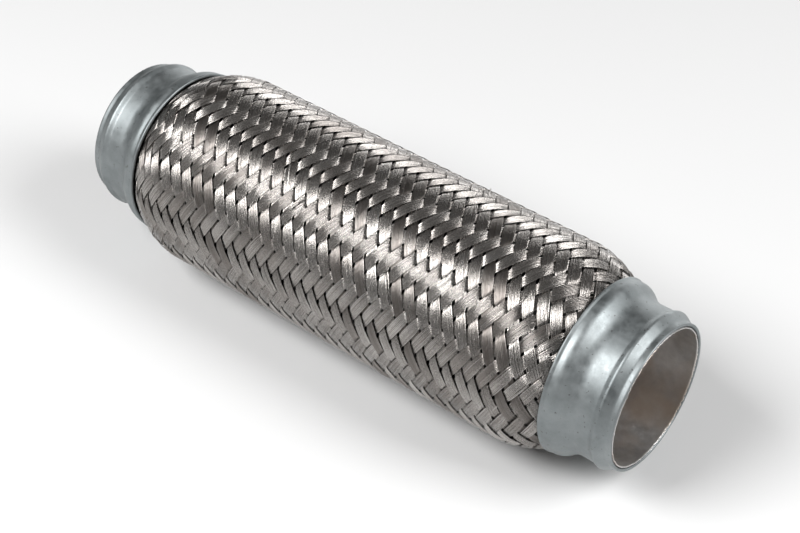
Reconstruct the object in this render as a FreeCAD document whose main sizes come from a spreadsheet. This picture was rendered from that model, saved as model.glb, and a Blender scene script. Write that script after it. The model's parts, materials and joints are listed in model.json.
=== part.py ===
"""Braided exhaust flex coupling, an expansion joint for a 45 mm pipe.

The pipe axis is X. The origin is the middle of the inlet's mouth, and the
outlet is at +X. Every piece is a profile turned about the axis.

Outside to inside: two pressed end caps, a woven wire sleeve (the braid), a
corrugated bellows, and an interlocking liner between two plain sleeves. The
bellows and the liner are cut into links, one per moving body, so that the
coupling can bend, shift sideways and change length.
"""
import FreeCAD, Part
import math
import os
import Sketcher
from FreeCAD import Placement, Rotation, Vector

LINK_COUNT = 12
HALF_TURN = Rotation(Vector(0, 0, 1), 180)
NO_TURN = Rotation()

# Driving dimensions in millimetres. Lengths run along the axis, and those
# of an end are measured inwards from the face of its cap.
SIZES = {
    # whole coupling, from the face of one cap to the face of the other
    "face": 0.0,
    "overall": 210.0,
    # end cap: one pressed ring of sheet steel
    "cap_sheet": 1.0,
    "lip_radius": 24.4,
    "lip_edge": 0.3,
    "lip_end": 1.6,
    "bead_start": 4.2,
    "bead_end": 5.7,
    "bead_radius": 25.9,
    "bead_round": 1.2,
    "neck_start": 6.6,
    "neck_end": 13.4,
    "neck_radius": 25.6,
    "neck_hollow": 45.0,
    "flare_end": 17.2,
    "flare_radius": 27.3,
    "flare_bend": 5.5,
    "collar_end": 21.2,
    "collar_radius": 29.2,
    "collar_bend": 5.2,
    "rim_end": 21.8,
    "rim_drop": 0.15,
    # bellows: straight cuffs clamped in the caps, and twin convolutions
    "bellows_wall": 0.4,
    "cuff_radius": 23.4,
    "cuff_recess": 0.3,
    "cuff_end": 29.4,
    "crest_radius": 32.0,
    "crest_width": 2.8,
    "crest_round": 1.4,
    "trough_width": 3.35,
    "trough_round": 1.675,
    # links: twelve, with a joint at each side of each
    "first_joint": 31.2,
    "link_pitch": 12.3,
    # liner: rings that hook into each other
    "liner_wall": 0.4,
    "bore_radius": 22.6,
    "sleeve_end": 20.0,
    "socket_radius": 22.45,
    "socket_length": 7.4,
    "spigot_radius": 21.2,
    "shoulder_length": 1.2,
    "hook": 0.5,
    "hook_reach": 2.0,
    # braid: two crossing layers of flat wire strands, taken as one sleeve
    "braid_wall": 0.9,
    "braid_start": 8.0,
    "braid_end_radius": 24.4,
    "braid_tuck": 15.2,
    "braid_exit": 21.8,
    "braid_exit_radius": 27.85,
    "braid_full": 38.0,
    "braid_radius": 33.6,
    "braid_swell": 30.0,
}


def make_sheet(document):
    """The sheet that holds every driving dimension."""
    sheet = document.addObject("Spreadsheet::Sheet", "Sizes")
    for row, (name, number) in enumerate(SIZES.items(), start=1):
        sheet.set("A%d" % row, name)
        sheet.set("B%d" % row, "%g" % number)
        sheet.setAlias("B%d" % row, name)
    document.recompute()
    return sheet


class Length:
    """A sum of driving dimensions, such as "lip_radius - cap_sheet".

    It has a number, to draw with, and an expression, to bind with.
    """

    def __init__(self, sheet, text):
        self.number = 0.0
        parts = []
        sign = 1.0
        for word in text.split():
            if word in "+-":
                sign = 1.0 if word == "+" else -1.0
                parts.append(word)
            else:
                self.number += sign * sheet.get(word)
                parts.append("Sizes." + word)
        self.expression = " ".join(parts)


def arc_between(start, end, radius, side):
    """The shorter arc from start to end, bulging to the left for side +1."""
    chord = end - start
    half = chord.Length / 2.0
    rise = math.sqrt(max(radius * radius - half * half, 0.0))
    left = Vector(-chord.y, chord.x, 0).normalize()
    centre = (start + end) * 0.5 - left * (side * rise)
    crown = centre + left * (side * radius)
    return Part.Arc(start, crown, end)


def bind(sketch, index, length):
    """Ties one sketch dimension to the sheet."""
    sketch.setExpression("Constraints[%d]" % index, length.expression)


def pin_point(sketch, piece, end, along, out):
    """Fixes one end of a sketch piece at a distance along and off the axis."""
    origin = (-1, 1)
    for kind, length in (("DistanceX", along), ("DistanceY", out)):
        rule = Sketcher.Constraint(kind, *origin, piece, end, length.number)
        bind(sketch, sketch.addConstraint(rule), length)


def draw_profile(sketch, sheet, outline):
    """Draws a closed outline, its corners and arcs bound to the sheet.

    Each step is (along, out) for a corner that a straight run leaves, or
    (along, out, radius, side) where an arc leaves it. side +1 bulges to the
    left of the way the outline goes, and -1 to the right.
    """
    corners = []
    for step in outline:
        corners.append((Length(sheet, step[0]), Length(sheet, step[1])))
    points = [Vector(along.number, out.number, 0) for along, out in corners]
    for number, step in enumerate(outline):
        start = points[number]
        end = points[(number + 1) % len(points)]
        if len(step) == 2:
            sketch.addGeometry(Part.LineSegment(start, end), False)
            pin_point(sketch, number, 1, *corners[number])
        else:
            bow = Length(sheet, step[2])
            sketch.addGeometry(arc_between(start, end, bow.number, step[3]), False)
    for number, step in enumerate(outline):
        previous = (number - 1) % len(outline)
        ends = (end_mark(sketch, previous, points[number]), end_mark(sketch, number, points[number]))
        rule = Sketcher.Constraint("Coincident", previous, ends[0], number, ends[1])
        sketch.addConstraint(rule)
        if len(step) > 2:
            pin_point(sketch, number, ends[1], *corners[number])
            close_arc(sketch, sheet, number, step, points)


def close_arc(sketch, sheet, number, step, points):
    """Fixes an arc's radius, or its centre's height where it is a half circle."""
    bow = Length(sheet, step[2])
    start = points[number]
    end = points[(number + 1) % len(points)]
    if (end - start).Length > 1.999 * bow.number:
        rule = Sketcher.Constraint("Horizontal", number, 3, number, end_mark(sketch, number, start))
        sketch.addConstraint(rule)
    else:
        rule = Sketcher.Constraint("Radius", number, bow.number)
        bind(sketch, sketch.addConstraint(rule), bow)


def end_mark(sketch, piece, point):
    """1 if a sketch piece starts at the point, 2 if it ends there."""
    return 1 if (sketch.getPoint(piece, 1) - point).Length < 1e-6 else 2


def origin_feature(body, role):
    """A body's own origin plane or axis."""
    for feature in body.Origin.OriginFeatures:
        if feature.Role == role:
            return feature
    raise LookupError(role)


def turned_body(document, sheet, name, outline, place, turn=NO_TURN):
    """A body turned about the X axis, standing at a bound place along it."""
    body = document.addObject("PartDesign::Body", name)
    body.Label = name
    sketch = body.newObject("Sketcher::SketchObject", name + "_profile")
    sketch.AttachmentSupport = [(origin_feature(body, "XY_Plane"), "")]
    sketch.MapMode = "FlatFace"
    draw_profile(sketch, sheet, outline)
    revolution = body.newObject("PartDesign::Revolution", name + "_turn")
    revolution.Profile = sketch
    revolution.ReferenceAxis = (sketch, ["H_Axis"])
    revolution.Angle = 360.0
    sketch.Visibility = False
    body.Tip = revolution
    body.Placement = Placement(Vector(0, 0, 0), turn)
    body.setExpression("Placement.Base.x", place)
    return body


def cap_outline():
    """Lip, bead, neck, flare and collar, out along the outside and back."""
    outside = [
        ("face", "lip_radius - lip_edge", "lip_edge", 1),
        ("lip_edge", "lip_radius"),
        ("lip_end", "lip_radius"),
        ("bead_start", "bead_radius", "bead_round", 1),
        ("bead_end", "bead_radius"),
        ("neck_start", "neck_radius", "neck_hollow", -1),
        ("neck_end", "neck_radius", "flare_bend", -1),
        ("flare_end", "flare_radius", "collar_bend", 1),
        ("collar_end", "collar_radius"),
        ("rim_end", "collar_radius - rim_drop"),
    ]
    inside = [
        ("rim_end", "collar_radius - rim_drop - cap_sheet"),
        ("collar_end", "collar_radius - cap_sheet", "collar_bend", -1),
        ("flare_end", "flare_radius - cap_sheet", "flare_bend", 1),
        ("neck_end", "neck_radius - cap_sheet", "neck_hollow", 1),
        ("neck_start", "neck_radius - cap_sheet"),
        ("bead_end", "bead_radius - cap_sheet", "bead_round", -1),
        ("bead_start", "bead_radius - cap_sheet"),
        ("lip_end", "lip_radius - cap_sheet"),
        ("face", "lip_radius - cap_sheet"),
    ]
    return outside + inside


def cuff_outline():
    """The straight end of the bellows, clamped inside a cap."""
    return [
        ("cuff_recess", "cuff_radius"),
        ("cuff_end", "cuff_radius"),
        ("cuff_end", "cuff_radius - bellows_wall"),
        ("cuff_recess", "cuff_radius - bellows_wall"),
    ]


def bellows_outline():
    """Two convolutions and the trough between them, one wall thick."""
    left = "crest_width"
    right = "crest_width + trough_width"
    end = "crest_width + trough_width + crest_width"
    start = "face"
    foot = "cuff_radius - bellows_wall"
    outside = [
        (start, foot),
        (start, "crest_radius - crest_round", "crest_round", 1),
        (left, "crest_radius - crest_round"),
        (left, "cuff_radius + trough_round", "trough_round", -1),
        (right, "cuff_radius + trough_round"),
        (right, "crest_radius - crest_round", "crest_round", 1),
        (end, "crest_radius - crest_round"),
        (end, foot),
    ]
    inside = [
        (end + " - bellows_wall", foot),
        (end + " - bellows_wall", "crest_radius - crest_round", "crest_round - bellows_wall", -1),
        (right + " + bellows_wall", "crest_radius - crest_round"),
        (right + " + bellows_wall", "cuff_radius + trough_round", "trough_round + bellows_wall", 1),
        (left + " - bellows_wall", "cuff_radius + trough_round"),
        (left + " - bellows_wall", "crest_radius - crest_round", "crest_round - bellows_wall", -1),
        ("bellows_wall", "crest_radius - crest_round"),
        ("bellows_wall", foot),
    ]
    return outside + inside


def socket_mouth(mouth, inward):
    """The in-turned hook at the mouth of a socket, from outside to inside."""
    return [
        (mouth, "socket_radius"),
        (mouth, "socket_radius - liner_wall - hook"),
        (mouth + inward + "liner_wall", "socket_radius - liner_wall - hook"),
        (mouth + inward + "liner_wall", "socket_radius - liner_wall"),
    ]


def spigot_tip(tip):
    """The out-turned hook at the tip of a spigot, from inside to outside."""
    return [
        (tip, "spigot_radius - liner_wall"),
        (tip, "spigot_radius + hook"),
        (tip + " - liner_wall", "spigot_radius + hook"),
        (tip + " - liner_wall", "spigot_radius"),
    ]


def ring_outline():
    """A liner ring: a hooked socket upstream and a hooked spigot downstream."""
    neck = "socket_length + shoulder_length"
    socket = socket_mouth("face", " + ")
    inside = [
        ("socket_length", "socket_radius - liner_wall"),
        (neck, "spigot_radius - liner_wall"),
    ]
    outside = [
        (neck, "spigot_radius"),
        ("socket_length", "socket_radius"),
    ]
    return socket + inside + spigot_tip("link_pitch + hook_reach + hook_reach") + outside


def sleeve_start():
    """The plain end of a sleeve that takes the pipe, from outside to inside."""
    return [
        ("sleeve_end", "bore_radius + liner_wall"),
        ("face", "bore_radius + liner_wall"),
        ("face", "bore_radius"),
        ("sleeve_end", "bore_radius"),
    ]


def inlet_sleeve_outline():
    """The inlet sleeve narrows to a spigot that hooks into the first ring."""
    neck = "sleeve_end + shoulder_length + shoulder_length"
    inside = [(neck, "spigot_radius - liner_wall")]
    outside = [(neck, "spigot_radius")]
    return sleeve_start() + inside + spigot_tip("first_joint + hook_reach") + outside


def outlet_sleeve_outline():
    """The outlet sleeve ends in a socket that the last ring hooks into."""
    neck = "sleeve_end + shoulder_length"
    inside = [(neck, "socket_radius - liner_wall")]
    outside = [(neck, "socket_radius")]
    mouth = list(reversed(socket_mouth("first_joint + hook_reach", " - ")))
    return sleeve_start() + inside + mouth + outside


def braid_side(wall, side, first, last):
    """One side of the braid, from its cut edge at the first end to the last.

    wall is taken off the radius, and side is the way the swells bulge.
    """
    return [
        (first + "braid_start", "braid_end_radius" + wall),
        (first + "braid_tuck", "braid_end_radius" + wall),
        (first + "braid_exit", "braid_exit_radius" + wall, "braid_swell", side),
        (first + "braid_full", "braid_radius" + wall),
        (last + "braid_full", "braid_radius" + wall, "braid_swell", side),
        (last + "braid_exit", "braid_exit_radius" + wall),
        (last + "braid_tuck", "braid_end_radius" + wall),
        (last + "braid_start", "braid_end_radius" + wall),
    ]


def braid_outline():
    """The braid sleeve, narrow in the caps and full over the bellows."""
    inlet = "face + "
    outlet = "overall - "
    return braid_side("", 1, inlet, outlet) + braid_side(" - braid_wall", -1, outlet, inlet)


def make_ends(document, sheet):
    """The cap, cuff and sleeve of each end. The outlet is turned to face +X."""
    ends = (
        ("inlet", "Sizes.face", NO_TURN, inlet_sleeve_outline()),
        ("outlet", "Sizes.overall", HALF_TURN, outlet_sleeve_outline()),
    )
    pieces = []
    for name, place, turn, sleeve in ends:
        pieces.append(turned_body(document, sheet, name + "_end_cap", cap_outline(), place, turn))
        pieces.append(turned_body(document, sheet, name + "_bellows_cuff", cuff_outline(), place, turn))
        pieces.append(turned_body(document, sheet, name + "_inner_sleeve", sleeve, place, turn))
    return pieces


def make_links(document, sheet):
    """Twelve links, each a twin convolution and the liner ring inside it."""
    pieces = []
    for number in range(LINK_COUNT):
        joint = "Sizes.first_joint + %d * Sizes.link_pitch" % number
        middle = joint + " + Sizes.link_pitch / 2"
        convolutions = middle + " - Sizes.trough_width / 2 - Sizes.crest_width"
        ring = joint + " - Sizes.hook_reach"
        label = "%02d" % (number + 1)
        pieces.append(turned_body(document, sheet, "bellows_link_" + label, bellows_outline(), convolutions))
        pieces.append(turned_body(document, sheet, "liner_ring_" + label, ring_outline(), ring))
    return pieces


def make_braid(document, sheet):
    """The woven sleeve, from inside one cap to inside the other."""
    return [turned_body(document, sheet, "outer_braid", braid_outline(), "Sizes.face")]


def check_document(document, pieces):
    """Stops if any object failed or any piece is not a sound solid."""
    for item in document.Objects:
        if "Invalid" in item.State or "Error" in item.State:
            raise RuntimeError("failed: %s %s" % (item.Name, item.State))
    for piece in pieces:
        shape = piece.Shape
        if shape.isNull() or not shape.isValid() or len(shape.Solids) != 1:
            raise RuntimeError("not one sound solid: " + piece.Label)


def main():
    os.makedirs("parts", exist_ok=True)
    document = FreeCAD.newDocument("flex_coupling")
    sheet = make_sheet(document)
    pieces = make_ends(document, sheet)
    pieces += make_links(document, sheet)
    pieces += make_braid(document, sheet)
    document.recompute()
    check_document(document, pieces)
    for piece in pieces:
        piece.Shape.exportStep("parts/%s.step" % piece.Label)
        print("%-24s %9.1f mm3" % (piece.Label, piece.Shape.Volume))


main()
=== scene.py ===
"""The looks of a braided exhaust flex coupling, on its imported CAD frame.

Sizes are in millimetres until a mesh is made, and metres from there on.
The pipe axis is X. "Along" is a distance from the inlet's mouth, "out" a
distance from the axis, and "around" an angle about it.
"""

import json
import math

import bpy
import numpy as np
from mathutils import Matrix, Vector

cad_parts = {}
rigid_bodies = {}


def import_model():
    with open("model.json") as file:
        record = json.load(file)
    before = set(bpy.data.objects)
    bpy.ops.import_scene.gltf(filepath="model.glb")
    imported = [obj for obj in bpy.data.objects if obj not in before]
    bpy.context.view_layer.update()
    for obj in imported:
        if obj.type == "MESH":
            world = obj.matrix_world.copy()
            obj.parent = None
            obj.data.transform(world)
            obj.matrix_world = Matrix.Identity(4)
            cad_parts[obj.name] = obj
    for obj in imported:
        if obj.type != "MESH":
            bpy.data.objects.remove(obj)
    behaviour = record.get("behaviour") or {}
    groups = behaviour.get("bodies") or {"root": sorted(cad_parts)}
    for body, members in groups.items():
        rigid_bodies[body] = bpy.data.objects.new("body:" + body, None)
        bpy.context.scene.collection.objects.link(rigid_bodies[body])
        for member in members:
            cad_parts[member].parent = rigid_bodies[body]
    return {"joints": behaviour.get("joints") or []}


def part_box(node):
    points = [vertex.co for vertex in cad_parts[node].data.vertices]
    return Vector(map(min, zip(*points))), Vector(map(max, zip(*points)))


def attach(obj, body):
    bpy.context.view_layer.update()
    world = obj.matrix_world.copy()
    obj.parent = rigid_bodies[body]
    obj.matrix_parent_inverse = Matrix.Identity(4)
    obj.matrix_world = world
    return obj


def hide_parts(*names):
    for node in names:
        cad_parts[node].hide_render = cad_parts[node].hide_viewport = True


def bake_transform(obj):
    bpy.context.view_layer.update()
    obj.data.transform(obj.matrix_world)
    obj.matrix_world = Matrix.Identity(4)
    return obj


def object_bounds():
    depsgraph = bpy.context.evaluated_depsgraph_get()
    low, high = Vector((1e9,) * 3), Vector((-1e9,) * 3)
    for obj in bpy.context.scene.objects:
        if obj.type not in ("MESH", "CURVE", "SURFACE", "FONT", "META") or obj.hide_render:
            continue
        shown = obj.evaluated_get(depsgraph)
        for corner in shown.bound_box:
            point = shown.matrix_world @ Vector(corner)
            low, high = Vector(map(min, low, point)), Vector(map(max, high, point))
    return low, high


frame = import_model()
CAD_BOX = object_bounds()
MM = 0.001

# The chain of bodies, from the inlet end through the links to the outlet end
JOINTS = [joint["pos_m"][0] / MM for joint in frame["joints"]]
CHAIN = [frame["joints"][0]["parent"]] + [joint["child"] for joint in frame["joints"]]
LINK = JOINTS[1] - JOINTS[0]
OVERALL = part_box("outlet_end_cap")[1].x / MM
EDGES = [JOINTS[0] - LINK / 2 + LINK * n for n in range(len(JOINTS) + 1)]
# Side bends, which bend_across reckons from the outlet's side
FROM_OUTLET = [n for n, joint in enumerate(frame["joints"]) if joint["name"].startswith("bend_side")]

# End cap: corners of the pressed sheet as (along, out, fillet), from the lip
CAP_SHEET = 1.0
CAP_CORNERS = [
    (0.0, 24.4, 0),
    (1.7, 24.4, 1.6),
    (4.7, 26.3, 1.2),
    (6.6, 25.45, 1.7),
    (13.9, 25.4, 7.0),
    (18.4, 28.9, 4.0),
    (20.9, 28.85, 1.0),
    (21.8, 29.25, 0),
]

# Bellows and liner
CUFF_OUT = 23.4
BELLOWS_WALL = 0.4
CREST_OUT = 31.6
CREST_ROUND = 1.4
LINER_WALL = 0.4
BORE_OUT = 22.6
SOCKET_OUT = 22.45
SOCKET_LENGTH = 7.4
SPIGOT_OUT = 21.2
SHOULDER = 1.2
HOOK = 0.5
REACH = 2.0
SLEEVE_END = 20.0
CUFF_BEND = 1.0
CUFF_RECESS = 0.9
BURR_REACH = 0.35
BURR_SIZE = 0.09

# Unevenness of the turned sheets, in millimetres, and the seed of each end
CAP_RIPPLE = 0.035
SLEEVE_RIPPLE = 0.02
RIPPLE_WAVES = 5
RIPPLE_TWIST = 0.15
INLET_SEED = 23
OUTLET_SEED = 11

# Braid: two families of flat strands, two over and two under
STRANDS = 24
WIRES = 9
WIRE_ROUND = 0.2
WIRE_FLAT = 0.5
WIRE_GAP = 0.4
STRAND_PITCH = 4.2
BRAID_TURN = math.radians(-5.6)
WEAVE_DEPTH = 0.21
WEAVE_BULGE = 0.09
ROW_SWELL = 0.11
DIVE = 6.0
DIVE_PINCH = 0.17
SPRUNG_SHARE = 0.05
END_WANDER = 2.5
END_ZONE = 48.0
END_FADE = 20.0
WIRE_SIDES = 5

# Braid: its middle surface as (along, out), from the cut end to its full width
BRAID_CUT = 14.0
BRAID_TUCK = (15.2, 23.98)
BRAID_EXIT = (21.8, 26.9)
BRAID_FULL = (38.0, 33.15)
BRAID_SWELL = 30.0
# The cosine of twice the strands' slant, at full width
BODY_LEAN = 2 * (STRAND_PITCH * STRANDS / (2 * math.pi * BRAID_FULL[1])) ** 2 - 1

# Braid: unevenness. Rows are counted both ways from the middle, and all lie within ROW_LIMIT
BRAID_SEED = 4
ROW_LIMIT = 60
STRAND_DRIFT = 0.08
WIRE_WANDER = 0.018
WIRE_RISE = 0.012
DRIFT_KNOTS = 24
WANDER_KNOTS = 90
STRAND_TONE = 0.16
WIRE_TONE = 0.10
SPRUNG_ROWS = 32
SPRUNG_HEIGHT = (0.4, 1.1)
SPRUNG_LENGTH = 0.9

# Studio
FLOOR_SIZE = 2.3
FLOOR_GAP = 0.0002
ROOM_GLOW = 0.13
BACKDROP_GLOW = 0.75
LAMP_DISTANCE = 1.2
KEY_DISTANCE = 0.95

# Camera: the point it looks at and its distance, in millimetres, and its direction in degrees
CAMERA_AIM = (112.05, 1.83, -3.41)
CAMERA_DISTANCE = 579.2
CAMERA_AZIMUTH = 38.70
CAMERA_ELEVATION = 41.21
CAMERA_LENS = 81.0
CAMERA_SENSOR = 36.0


# ---------------------------------------------------------------- outlines

def rounded(corners, step=0.18):
    """A path through (along, out, fillet) corners, each corner cut by its fillet."""
    path = [np.array(corners[0][:2], float)]
    for before, corner, after in zip(corners, corners[1:], corners[2:]):
        middle = np.array(corner[:2], float)
        back = np.array(before[:2], float) - middle
        ahead = np.array(after[:2], float) - middle
        back /= np.linalg.norm(back)
        ahead /= np.linalg.norm(ahead)
        opening = math.acos(np.clip(back @ ahead, -1, 1))
        if corner[2] == 0 or math.pi - opening < 1e-3:
            path.append(middle)
            continue
        run = corner[2] / math.tan(opening / 2)
        bisector = (back + ahead) / np.linalg.norm(back + ahead)
        centre = middle + bisector * corner[2] / math.sin(opening / 2)
        first = middle + back * run - centre
        last = middle + ahead * run - centre
        steps = max(4, int(corner[2] * (math.pi - opening) / step))
        start = math.atan2(first[1], first[0])
        sweep = math.atan2(last[1], last[0]) - start
        sweep = (sweep + math.pi) % (2 * math.pi) - math.pi
        for n in range(steps + 1):
            turn = start + sweep * n / steps
            path.append(centre + corner[2] * np.array([math.cos(turn), math.sin(turn)]))
    path.append(np.array(corners[-1][:2], float))
    return np.array(path)


def filled_in(path, step=0.5):
    """The same path with long straight runs cut into steps."""
    points = [path[0]]
    for start, end in zip(path, path[1:]):
        parts = max(1, int(np.linalg.norm(end - start) / step))
        for n in range(1, parts + 1):
            points.append(start + (end - start) * n / parts)
    return np.array(points)


def offset(path, distance):
    """The path moved sideways, to its right, by a distance."""
    tangent = np.gradient(path, axis=0)
    tangent /= np.linalg.norm(tangent, axis=1)[:, None]
    return path + distance * np.stack([tangent[:, 1], -tangent[:, 0]], axis=1)


def sheet_outline(path, wall, edge=4):
    """A closed outline: the path, a round edge, the path's inner side, a round edge."""
    inner = offset(path, wall)[::-1]
    far = round_edge(path[-1], inner[0], edge)
    near = round_edge(inner[-1], path[0], edge)
    return np.concatenate([path, far, inner, near])


def round_edge(start, end, count):
    """Points of the half circle that closes a sheet's cut edge."""
    centre = (start + end) / 2
    arm = start - centre
    side = np.array([arm[1], -arm[0]])
    turns = np.linspace(0, math.pi, count + 2)[1:-1]
    return np.array([centre + arm * math.cos(t) + side * 0.6 * math.sin(t) for t in turns])


# ---------------------------------------------------------------- meshes

def make_mesh(name, points, faces, material, floats=None):
    """A smooth mesh object from points in millimetres and four-sided faces."""
    mesh = bpy.data.meshes.new(name)
    mesh.vertices.add(len(points))
    mesh.vertices.foreach_set("co", (points * MM).astype(np.float32).ravel())
    mesh.loops.add(faces.size)
    mesh.loops.foreach_set("vertex_index", faces.astype(np.int32).ravel())
    mesh.polygons.add(len(faces))
    mesh.polygons.foreach_set("loop_start", np.arange(0, faces.size, 4, dtype=np.int32))
    mesh.polygons.foreach_set("use_smooth", np.ones(len(faces), bool))
    for key, values in (floats or {}).items():
        attribute = mesh.attributes.new(key, "FLOAT", "POINT")
        attribute.data.foreach_set("value", values.astype(np.float32))
    mesh.update(calc_edges=True)
    mesh.validate()
    mesh.materials.append(material)
    thing = bpy.data.objects.new(name, mesh)
    bpy.context.scene.collection.objects.link(thing)
    return thing


def grid_faces(rows, columns, wrap_rows, wrap_columns):
    """Four-sided faces over a grid of points, joined round where it wraps."""
    row = np.arange(rows if wrap_rows else rows - 1)
    column = np.arange(columns if wrap_columns else columns - 1)
    r, c = np.meshgrid(row, column, indexing="ij")
    below = (r + 1) % rows
    beside = (c + 1) % columns
    corners = [r * columns + c, r * columns + beside, below * columns + beside, below * columns + c]
    return np.stack(corners, axis=-1).reshape(-1, 4)


def lathe(name, outline, material, sides=192, wobble=None, burr=None, mirrored=False):
    """The closed outline turned about the pipe axis.

    wobble moves points in or out, and burr is a seed that roughens the edge at the mouth.
    """
    along, out = np.array(outline, float).T
    if mirrored:
        along = OVERALL - along
    around = np.linspace(0, 2 * math.pi, sides, endpoint=False)
    grid_out = np.repeat(out[:, None], sides, axis=1)
    grid_along = np.repeat(along[:, None], sides, axis=1)
    if burr:
        random = np.random.default_rng(burr)
        near = np.clip(1 - np.array(outline)[:, :1] / BURR_REACH, 0, 1)
        grid_along = grid_along + near * random.normal(0, BURR_SIZE, sides)
        grid_out = grid_out + near * random.normal(0, BURR_SIZE / 2, sides)
    if wobble:
        grid_out = grid_out + wobble(np.repeat(np.array(outline)[:, :1], sides, axis=1), around[None, :])
    points = np.stack([grid_along, grid_out * np.cos(around), grid_out * np.sin(around)], axis=-1)
    faces = grid_faces(len(out), sides, True, True)
    if mirrored:
        faces = faces[:, ::-1]
    return make_mesh(name, points.reshape(-1, 3), faces, material)


def ripple(seed, size):
    """A small smooth unevenness around and along a turned sheet, in millimetres."""
    random = np.random.default_rng(seed)
    waves = []
    for count in range(2, 2 + RIPPLE_WAVES):
        phase = random.uniform(0, 2 * math.pi)
        height = random.normal() / count
        waves.append((count, phase, height, random.uniform(-RIPPLE_TWIST, RIPPLE_TWIST)))

    def unevenness(along, around):
        total = 0
        for count, phase, height, twist in waves:
            total = total + height * np.cos(count * around + phase + twist * along)
        return size * total

    return unevenness


# ---------------------------------------------------------------- materials

class Nodes:
    """A short way to add and join the nodes of one material."""

    def __init__(self, name):
        self.material = bpy.data.materials.new(name)
        self.material.use_nodes = True
        self.tree = self.material.node_tree
        self.shader = self.tree.nodes["Principled BSDF"]
        self.where = self.tree.nodes.new("ShaderNodeTexCoord").outputs["Object"]

    def add(self, kind, inputs=None, **settings):
        node = self.tree.nodes.new("ShaderNode" + kind)
        for key, value in settings.items():
            setattr(node, key, value)
        for key, value in (inputs or {}).items():
            self.put(node.inputs[key], value)
        return node

    def put(self, socket, value):
        if isinstance(value, bpy.types.NodeSocket):
            self.tree.links.new(value, socket)
        else:
            socket.default_value = value

    def noise(self, scale, detail=3.0, rough=0.5, stretch=None):
        where = self.where
        if stretch:
            where = self.add("Mapping", {"Vector": where, "Scale": stretch}).outputs["Vector"]
        inputs = {"Vector": where, "Scale": scale, "Detail": detail, "Roughness": rough}
        return self.add("TexNoise", inputs).outputs["Fac"]

    def ramp(self, value, low, high, start=0.0, end=1.0):
        inputs = {"Value": value, "From Min": low, "From Max": high, "To Min": start, "To Max": end}
        return self.add("MapRange", inputs).outputs["Result"]

    def math(self, operation, first, second):
        return self.add("Math", {0: first, 1: second}, operation=operation).outputs[0]

    def mix(self, share, first, second):
        node = self.add("Mix", data_type="RGBA")
        self.put(node.inputs["Factor"], share)
        self.put(node.inputs["A"], (*first, 1) if isinstance(first, tuple) else first)
        self.put(node.inputs["B"], (*second, 1) if isinstance(second, tuple) else second)
        return node.outputs["Result"]

    def bump(self, height, strength, distance):
        inputs = {"Height": height, "Strength": strength, "Distance": distance}
        return self.add("Bump", inputs).outputs["Normal"]

    def finish(self, **sockets):
        for key, value in sockets.items():
            self.put(self.shader.inputs[key.replace("_", " ")], value)
        return self.material


def zinc_steel():
    """Zinc-coated pressed steel: satin, clouded, with faint drawing marks and pits."""
    m = Nodes("zinc_steel")
    clouds = m.noise(70, 5.0, 0.6)
    patches = m.noise(260, 4.0, 0.65)
    grain = m.noise(2600, 2.0)
    marks = m.noise(1.0, 3.0, 0.6, stretch=(2400, 60, 60))
    pits = m.ramp(m.noise(900, 1.0), 0.70, 0.76)
    blend = m.math("ADD", m.math("MULTIPLY", clouds, 0.6), m.math("MULTIPLY", patches, 0.4))
    colour = m.mix(m.ramp(blend, 0.36, 0.64), (0.20, 0.22, 0.224), (0.31, 0.333, 0.338))
    colour = m.mix(m.math("MULTIPLY", pits, 0.75), colour, (0.10, 0.10, 0.10))
    rough = m.math("ADD", m.ramp(patches, 0.35, 0.65, 0.42, 0.55), m.ramp(grain, 0.3, 0.7, 0.0, 0.07))
    height = m.math("ADD", m.math("MULTIPLY", marks, 0.45), m.math("MULTIPLY", patches, 1.2))
    height = m.math("ADD", height, m.math("MULTIPLY", grain, 0.25))
    normal = m.bump(height, 0.32, 0.00008)
    return m.finish(Base_Color=colour, Metallic=1.0, Roughness=rough, Normal=normal)


def braid_steel():
    """Bright drawn stainless wire, each wire a little lighter, darker or browner."""
    m = Nodes("braid_steel")
    tone = m.add("Attribute", attribute_name="tone").outputs["Fac"]
    stain = m.noise(60, 2.0, 0.5)
    drawn = m.noise(3000, 2.0)
    colour = m.mix(tone, (0.22, 0.20, 0.185), (0.52, 0.50, 0.478))
    colour = m.mix(m.ramp(stain, 0.50, 0.75, 0.0, 0.25), colour, (0.26, 0.22, 0.20))
    rough = m.math("ADD", m.ramp(tone, 0.0, 1.0, 0.30, 0.22), m.ramp(drawn, 0.3, 0.7, -0.02, 0.03))
    return m.finish(Base_Color=colour, Metallic=1.0, Roughness=rough)


def bellows_painted_shade():
    """Thin rolled stainless, with fine forming marks round the convolutions, its colour painted near black
    as shade.
    """
    m = Nodes("bellows_painted_shade")
    marks = m.noise(1.0, 3.0, 0.6, stretch=(3000, 50, 50))
    haze = m.noise(120, 4.0, 0.6)
    # Painted shade: the base colour is near black, standing in for the shadow in the braid's holes and the
    # dark gap at the mouth. Only the haze's small variation is the sheet's own tone.
    colour = m.mix(m.ramp(haze, 0.35, 0.65), (0.05, 0.047, 0.044), (0.11, 0.105, 0.10))
    rough = m.ramp(haze, 0.3, 0.7, 0.26, 0.42)
    normal = m.bump(marks, 0.25, 0.00004)
    return m.finish(Base_Color=colour, Metallic=1.0, Roughness=rough, Normal=normal)


def liner_steel():
    """Dull stainless strip, browned by welding heat in patches."""
    m = Nodes("liner_steel")
    heat = m.noise(38, 3.0, 0.55)
    haze = m.noise(420, 4.0, 0.6)
    marks = m.noise(1.0, 3.0, 0.6, stretch=(2000, 40, 40))
    colour = m.mix(m.ramp(haze, 0.3, 0.7), (0.58, 0.57, 0.56), (0.72, 0.71, 0.70))
    colour = m.mix(m.ramp(heat, 0.46, 0.66, 0.0, 0.7), colour, (0.66, 0.52, 0.41))
    rough = m.ramp(haze, 0.3, 0.7, 0.34, 0.44)
    normal = m.bump(marks, 0.3, 0.00005)
    return m.finish(Base_Color=colour, Metallic=1.0, Roughness=rough, Normal=normal)


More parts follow.
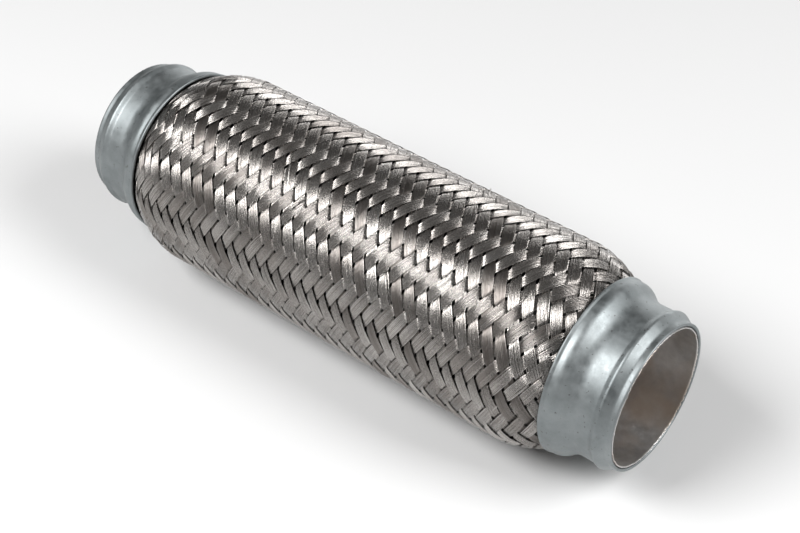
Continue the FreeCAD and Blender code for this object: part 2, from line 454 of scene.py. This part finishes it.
def floor_paint():
    """Matt white studio floor."""
    m = Nodes("floor_paint")
    haze = m.noise(3.0, 2.0)
    colour = m.mix(haze, (0.62, 0.62, 0.62), (0.64, 0.64, 0.64))
    return m.finish(Base_Color=colour, Roughness=0.9)


# ---------------------------------------------------------------- ends

def cap_path():
    """The outside of the pressed cap, from its lip to its rim."""
    return filled_in(rounded(CAP_CORNERS), 0.35)


def sleeve_path(outlet):
    """The outside of an inner sleeve. The outlet's ends in a socket."""
    tip = JOINTS[0] + REACH
    if outlet:
        corners = [
            (0.0, BORE_OUT + LINER_WALL, 0),
            (SLEEVE_END, BORE_OUT + LINER_WALL, 0.5),
            (SLEEVE_END + SHOULDER, SOCKET_OUT, 0.5),
            (tip, SOCKET_OUT, 0.3),
            (tip, SOCKET_OUT - LINER_WALL - HOOK, 0),
        ]
    else:
        corners = [
            (0.0, BORE_OUT + LINER_WALL, 0),
            (SLEEVE_END, BORE_OUT + LINER_WALL, 0.6),
            (SLEEVE_END + 2 * SHOULDER, SPIGOT_OUT, 0.6),
            (tip - LINER_WALL, SPIGOT_OUT, 0.05),
            (tip - LINER_WALL, SPIGOT_OUT + HOOK, 0),
        ]
    return filled_in(rounded(corners))


def make_end(side, body, outlet, materials):
    """The cap, the bellows' cuff and the inner sleeve of one end."""
    seed = OUTLET_SEED if outlet else INLET_SEED
    cap = lathe(side + "_cap_shell", sheet_outline(cap_path(), CAP_SHEET), materials["zinc"],
                sides=288, wobble=ripple(seed, CAP_RIPPLE), mirrored=outlet)
    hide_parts(side + "_end_cap")
    cuff_line = np.array([[CUFF_RECESS, CUFF_OUT], [EDGES[0], CUFF_OUT]])
    cuff = lathe(side + "_cuff_sheet", sheet_outline(filled_in(cuff_line, 2.0), BELLOWS_WALL),
                 materials["bellows"], mirrored=outlet)
    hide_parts(side + "_bellows_cuff")
    sleeve_line = sheet_outline(sleeve_path(outlet), LINER_WALL)
    sleeve = lathe(side + "_sleeve_sheet", sleeve_line, materials["liner"], sides=400,
                   wobble=ripple(seed + 5, SLEEVE_RIPPLE), burr=seed, mirrored=outlet)
    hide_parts(side + "_inner_sleeve")
    for piece in (cap, cuff, sleeve):
        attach(piece, body)


# ---------------------------------------------------------------- bellows and liner

def bend_across(piece, number):
    """Bakes the piece's placement into its mesh. The two bodies and edges that it spans are worked out, but
    nothing is bent or joined to them.
    """
    bodies = CHAIN[number:number + 2]
    edges = [(edge * MM, 0, 0) for edge in EDGES[number:number + 2]]
    if number in FROM_OUTLET:
        bodies.reverse()
        edges.reverse()
    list(bodies)
    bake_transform(piece)


def convolution(crest):
    """The outside of one convolution, from trough to trough about its crest."""
    half = LINK / 4
    trough = half - CREST_ROUND
    turns = np.linspace(0, math.pi / 2, 7)
    path = []
    for turn in turns:
        path.append((crest - half + trough * math.sin(turn), CUFF_OUT + trough * (1 - math.cos(turn))))
    for turn in np.linspace(math.pi, 0, 15):
        rise = CREST_ROUND * math.sin(turn)
        path.append((crest + CREST_ROUND * math.cos(turn), CREST_OUT - CREST_ROUND + rise))
    for turn in turns[::-1]:
        path.append((crest + half - trough * math.sin(turn), CUFF_OUT + trough * (1 - math.cos(turn))))
    return path


def make_bellows(materials):
    """The bellows' skin, one band across each joint."""
    for number, joint in enumerate(JOINTS):
        first, last = number == 0, number == len(JOINTS) - 1
        path = [(EDGES[number], CUFF_OUT)] if first else convolution(joint - LINK / 4)
        path += [(EDGES[number + 1], CUFF_OUT)] if last else convolution(joint + LINK / 4)
        if first:
            path.insert(1, (joint - CUFF_BEND, CUFF_OUT))
        path = np.array([p for n, p in enumerate(path) if n == 0 or math.dist(p, path[n - 1]) > 1e-6])
        inner = offset(path, BELLOWS_WALL)[::-1]
        skin = lathe("bellows_skin_%02d" % (number + 1), np.concatenate([path, inner]),
                     materials["bellows"], sides=96)
        if not last:
            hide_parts("bellows_link_%02d" % (number + 1))
        bend_across(skin, number)


def ring_path():
    """The outside of a liner ring: socket, shoulder and spigot with its hook."""
    tip = LINK + 2 * REACH
    corners = [
        (0.0, SOCKET_OUT - LINER_WALL - HOOK, 0),
        (0.0, SOCKET_OUT, 0.3),
        (SOCKET_LENGTH, SOCKET_OUT, 0.5),
        (SOCKET_LENGTH + SHOULDER, SPIGOT_OUT, 0.5),
        (tip - LINER_WALL, SPIGOT_OUT, 0.05),
        (tip - LINER_WALL, SPIGOT_OUT + HOOK, 0),
    ]
    return filled_in(rounded(corners), 1.0)


def make_liner(materials):
    """The interlocking rings, each riding on its own link."""
    outline = sheet_outline(ring_path(), LINER_WALL, 2)
    for number, joint in enumerate(JOINTS[:-1]):
        label = "%02d" % (number + 1)
        placed = outline + np.array([joint - REACH, 0])
        ring = lathe("liner_turn_" + label, placed, materials["liner"], sides=144)
        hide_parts("liner_ring_" + label)
        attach(ring, CHAIN[number + 1])


# ---------------------------------------------------------------- braid

def braid_line():
    """The braid's middle surface as (along, out) points from cut end to cut end."""
    exit_point, full = np.array(BRAID_EXIT), np.array(BRAID_FULL)
    chord = full - exit_point
    half = np.linalg.norm(chord) / 2
    left = np.array([-chord[1], chord[0]]) / (2 * half)
    centre = (exit_point + full) / 2 - left * math.sqrt(BRAID_SWELL ** 2 - half ** 2)
    start = math.atan2(*(exit_point - centre)[::-1])
    end = math.atan2(*(full - centre)[::-1])
    turns = np.linspace(start, end, 24)
    swell = [centre + BRAID_SWELL * np.array([math.cos(t), math.sin(t)]) for t in turns]
    near = np.array([(BRAID_CUT, BRAID_TUCK[1]), BRAID_TUCK] + swell)
    far = near[::-1] * np.array([-1, 1]) + np.array([OVERALL, 0])
    return np.concatenate([near, far])


class Weave:
    """Where the braid's strands run.

    Both families turn by one step of angle for each row that they cross. The
    rows are numbered from the middle of the coupling, at row 0.
    """

    STEP = math.pi / STRANDS

    def __init__(self):
        line = filled_in(braid_line(), 0.25)
        along, out = line.T
        slant_cos = np.clip(STRAND_PITCH * STRANDS / (2 * math.pi * out), 0.0, 0.95)
        slant_tan = np.sqrt(1 - slant_cos ** 2) / slant_cos
        run = np.linalg.norm(np.diff(line, axis=0), axis=1)
        per_row = out * self.STEP / slant_tan
        rows = np.concatenate([[0], np.cumsum(run / ((per_row[1:] + per_row[:-1]) / 2))])
        self.rows = rows - np.interp(OVERALL / 2, along, rows)
        self.along, self.out = along, out
        self.lean = np.gradient(out, along)
        self.slant = np.arctan(slant_tan)

    def at(self, table, row):
        return np.interp(row, self.rows, table)


def over_wave(row):
    """A wave of four rows: above zero where a strand is over, below where it is under."""
    return np.cos(math.pi / 2 * (row - 0.5))


def slow_noise(random, count, size):
    """A random value that drifts along a strand, as a function of its row."""
    knots = np.linspace(-ROW_LIMIT, ROW_LIMIT, count)
    values = random.normal(0, size, count)
    return lambda row: np.interp(row, knots, values)


def sprung(random, rise):
    """The same rise, with an arch on a few wires that have sprung out of the weave."""
    if random.random() > SPRUNG_SHARE:
        return rise
    place = random.uniform(-SPRUNG_ROWS, SPRUNG_ROWS)
    height = random.uniform(*SPRUNG_HEIGHT)
    return lambda row: rise(row) + height * np.exp(-((row - place) / SPRUNG_LENGTH) ** 2)


def looseness(along):
    """How freely strands wander: evenly over the body, more where the caps gather them."""
    from_end = np.minimum(along, OVERALL - along)
    return 1 + END_WANDER * np.clip((END_ZONE - from_end) / END_FADE, 0, 1)


def strand_rows(weave, shift):
    """Rows at which a wire gets a point: close together where it dives or rises."""
    dives = np.arange(-ROW_LIMIT, ROW_LIMIT, 2) + shift
    near = np.array([-0.5, -0.2, -0.08, 0.0, 0.08, 0.2, 0.5, 1.0])
    rows = (dives[:, None] + near).ravel()
    inside = (rows > weave.rows[0] + 0.05) & (rows < weave.rows[-1] - 0.05)
    return rows[inside]


def wire_points(weave, rows, lean, strand, side, drift, lift):
    """One wire of a strand. side is its place across the strand, in millimetres."""
    along = weave.at(weave.along, rows)
    out = weave.at(weave.out, rows)
    slope = np.arctan(weave.at(weave.lean, rows))
    slant = weave.at(weave.slant, rows)
    wave = over_wave(2 * strand + side / STRAND_PITCH * np.cos(2 * slant) + lean * rows)
    height = lean * (WEAVE_DEPTH * np.tanh(DIVE * wave) + WEAVE_BULGE * wave)
    height = height + ROW_SWELL * (2 * wave ** 2 - 1) + lift
    side = side * (1 - DIVE_PINCH * (1 - np.abs(wave)) ** 2)
    drift = drift * looseness(along)
    across = side + drift
    around = BRAID_TURN + (2 * strand + lean * rows) * Weave.STEP
    around = around + across * np.cos(slant) / out
    step = -lean * across * np.sin(slant)
    along = along + step * np.cos(slope) - height * np.sin(slope)
    out = out + step * np.sin(slope) + height * np.cos(slope)
    return along, out, around


def band_cuts(wire, rows):
    """Rows at which a wire crosses from one band to the next."""
    boundaries = np.array(EDGES[1:-1])
    cuts = np.interp(boundaries, wire(rows)[0], rows)
    for _ in range(3):
        cuts = cuts + (boundaries - wire(cuts)[0]) / (LINK / 5)
    return cuts


def braid_wires(weave):
    """Every wire as (points in millimetres, places of its cuts, tone)."""
    random = np.random.default_rng(BRAID_SEED)
    for lean in (1, -1):
        for strand in range(STRANDS):
            drift = slow_noise(random, DRIFT_KNOTS, STRAND_DRIFT)
            tone = random.normal(0.5, STRAND_TONE)
            for number in range(WIRES):
                side = (number - (WIRES - 1) / 2) * WIRE_GAP
                wander = slow_noise(random, WANDER_KNOTS, WIRE_WANDER)
                rise = sprung(random, slow_noise(random, WANDER_KNOTS, WIRE_RISE))

                def wire(row):
                    return wire_points(weave, row, lean, strand, side, drift(row) + wander(row), rise(row))

                dive = lean * (1.5 - 2 * strand - side / STRAND_PITCH * BODY_LEAN)
                rows = strand_rows(weave, dive % 2)
                cuts = band_cuts(wire, rows)
                every = np.unique(np.concatenate([rows, cuts]))
                along, out, around = wire(every)
                points = np.stack([along, out * np.cos(around), out * np.sin(around)], axis=1)
                marks = np.searchsorted(every, cuts)
                yield points, marks, np.clip(tone + random.normal(0, WIRE_TONE), 0, 1)


def tube_rings(points):
    """Rings of points round a wire's line, square to it, the first point outward."""
    tangent = np.gradient(points, axis=0)
    tangent /= np.linalg.norm(tangent, axis=1)[:, None]
    outward = points * np.array([0, 1, 1])
    outward -= tangent * (outward * tangent).sum(1)[:, None]
    outward /= np.linalg.norm(outward, axis=1)[:, None]
    sideways = np.cross(tangent, outward)
    turns = np.arange(WIRE_SIDES) * 2 * math.pi / WIRE_SIDES
    spokes = WIRE_FLAT * np.cos(turns)[None, :, None] * outward[:, None]
    spokes = spokes + np.sin(turns)[None, :, None] * sideways[:, None]
    return points[:, None] + WIRE_ROUND * spokes


def make_braid(materials):
    """The woven sleeve: a band across each joint, the first and last reaching into the caps."""
    count = len(JOINTS)
    points = [[] for _ in range(count)]
    faces = [[] for _ in range(count)]
    tones = [[] for _ in range(count)]
    sizes = [0] * count
    for line, marks, tone in braid_wires(Weave()):
        rings = tube_rings(line)
        limits = [0, *marks, len(line) - 1]
        for band, (start, end) in enumerate(zip(limits, limits[1:])):
            part = rings[start:end + 1]
            if len(part) < 2:
                continue
            quads = grid_faces(len(part), WIRE_SIDES, False, True) + sizes[band]
            points[band].append(part.reshape(-1, 3))
            faces[band].append(quads)
            tones[band].append(np.full(len(part) * WIRE_SIDES, tone))
            sizes[band] += len(part) * WIRE_SIDES
    for band in range(count):
        piece = make_mesh(
            "braid_band_%02d" % (band + 1),
            np.concatenate(points[band]),
            np.concatenate(faces[band]),
            materials["braid"],
            {"tone": np.concatenate(tones[band])},
        )
        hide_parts("outer_braid")
        bend_across(piece, band)


# ---------------------------------------------------------------- studio

def make_floor(material):
    """A wide pale floor, just under the braid."""
    bpy.ops.mesh.primitive_plane_add(size=FLOOR_SIZE, location=(0.1, 0, CAD_BOX[0].z - FLOOR_GAP))
    floor = bpy.context.active_object
    floor.name = "floor"
    floor.data.materials.append(material)


def soft_light(name, azimuth, elevation, size, radiance, distance=LAMP_DISTANCE):
    """A soft box that faces the coupling from a direction, in degrees, with an even glow."""
    middle = Vector((OVERALL / 2 * MM, 0, 0))
    turn, rise = math.radians(azimuth), math.radians(elevation)
    away = Vector((math.cos(turn) * math.cos(rise), math.sin(turn) * math.cos(rise), math.sin(rise)))
    light = bpy.data.lights.new(name, "AREA")
    light.shape = "RECTANGLE"
    light.size, light.size_y = size
    light.energy = radiance * math.pi * size[0] * size[1]
    lamp = bpy.data.objects.new(name, light)
    lamp.location = middle + away * distance
    lamp.visible_camera = False
    lamp.rotation_euler = (-away).to_track_quat("-Z", "Y").to_euler()
    bpy.context.scene.collection.objects.link(lamp)


def make_surroundings():
    """A dim room, which looks pale where it is seen past the floor's edge."""
    world = bpy.data.worlds.new("studio")
    world.use_nodes = True
    tree = world.node_tree
    path = tree.nodes.new("ShaderNodeLightPath")
    glow = tree.nodes.new("ShaderNodeMapRange")
    glow.inputs["To Min"].default_value = ROOM_GLOW
    glow.inputs["To Max"].default_value = BACKDROP_GLOW
    tree.links.new(path.outputs["Is Camera Ray"], glow.inputs["Value"])
    tree.links.new(glow.outputs["Result"], tree.nodes["Background"].inputs["Strength"])
    tree.nodes["Background"].inputs["Color"].default_value = (1, 1, 1, 1)
    return world


def make_lights():
    """Plain soft studio light: a high key, a second from the outlet's side, a low strip behind."""
    soft_light("key_box", azimuth=242, elevation=49, size=(0.46, 0.46), radiance=17.0, distance=KEY_DISTANCE)
    soft_light("side_box", azimuth=16, elevation=40, size=(0.5, 0.7), radiance=13.0)
    soft_light("back_box", azimuth=105, elevation=5, size=(1.6, 0.2), radiance=5.0)
    bpy.context.scene.world = make_surroundings()
    bpy.context.scene.view_settings.view_transform = "Standard"


def make_camera():
    """Looks down at the outlet end, from the side, with a long lens."""
    aim = Vector(CAMERA_AIM) * MM
    distance = CAMERA_DISTANCE * MM
    azimuth, elevation = math.radians(CAMERA_AZIMUTH), math.radians(CAMERA_ELEVATION)
    level = math.cos(elevation)
    away = Vector((math.sin(azimuth) * level, -math.cos(azimuth) * level, math.sin(elevation)))
    camera = bpy.data.cameras.new("camera")
    camera.lens = CAMERA_LENS
    camera.sensor_width = CAMERA_SENSOR
    thing = bpy.data.objects.new("camera", camera)
    thing.location = aim + away * distance
    thing.rotation_euler = (-away).to_track_quat("-Z", "Y").to_euler()
    bpy.context.scene.collection.objects.link(thing)
    bpy.context.scene.camera = thing


def main():
    """Every piece of the coupling, then the studio."""
    materials = {
        "zinc": zinc_steel(),
        "braid": braid_steel(),
        "bellows": bellows_painted_shade(),
        "liner": liner_steel(),
    }
    make_end("inlet", CHAIN[0], False, materials)
    make_end("outlet", CHAIN[-1], True, materials)
    make_bellows(materials)
    make_liner(materials)
    make_braid(materials)
    make_floor(floor_paint())
    make_lights()
    make_camera()


main()
